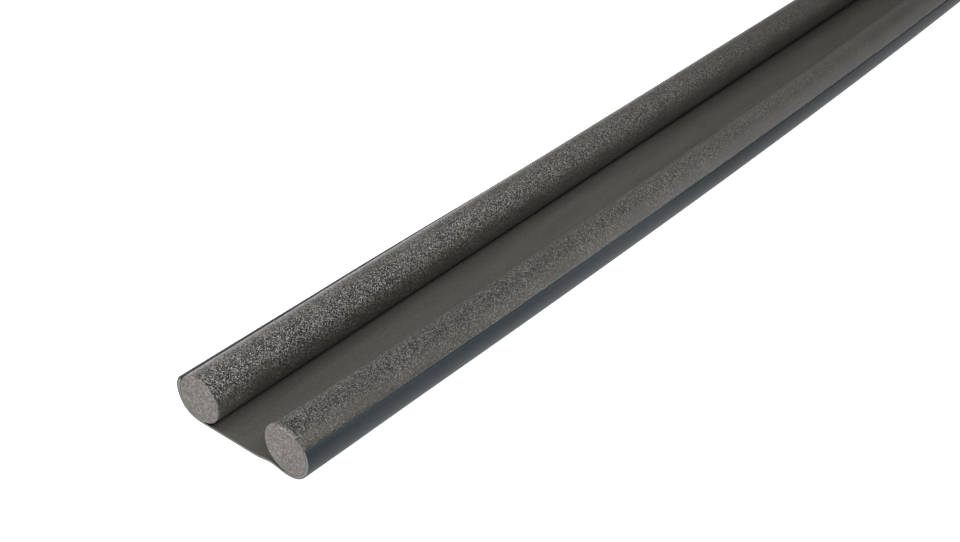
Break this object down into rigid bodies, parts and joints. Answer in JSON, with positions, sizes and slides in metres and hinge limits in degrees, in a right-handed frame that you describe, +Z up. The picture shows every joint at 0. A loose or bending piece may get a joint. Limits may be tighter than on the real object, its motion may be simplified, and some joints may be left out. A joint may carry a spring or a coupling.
{
  "type": "draught excluder",
  "caption": "Under-door draught excluder strip: twin round foam rods bonded along one thin sheet that wraps under and up the outside of each, with a channel between for the door.",
  "frame": {"origin": "on the floor, under the middle of the strip's outline", "axes": "+X along the strip, from the end with the slightly opened lip to the far end; +Y across it, from the front rod to the back rod; +Z up"},
  "size_m": [0.9518, 0.1048, 0.0295],
  "materials": {
    "foam": "matt closed-cell polyethylene foam",
    "sheet": "soft plastic sheet, matt inside and satin outside"
  },
  "bodies": {
    "root": {"foam_rod_back": "foam", "foam_rod_front": "foam", "carrier_sheet": "sheet"}
  },
  "joints": []
}
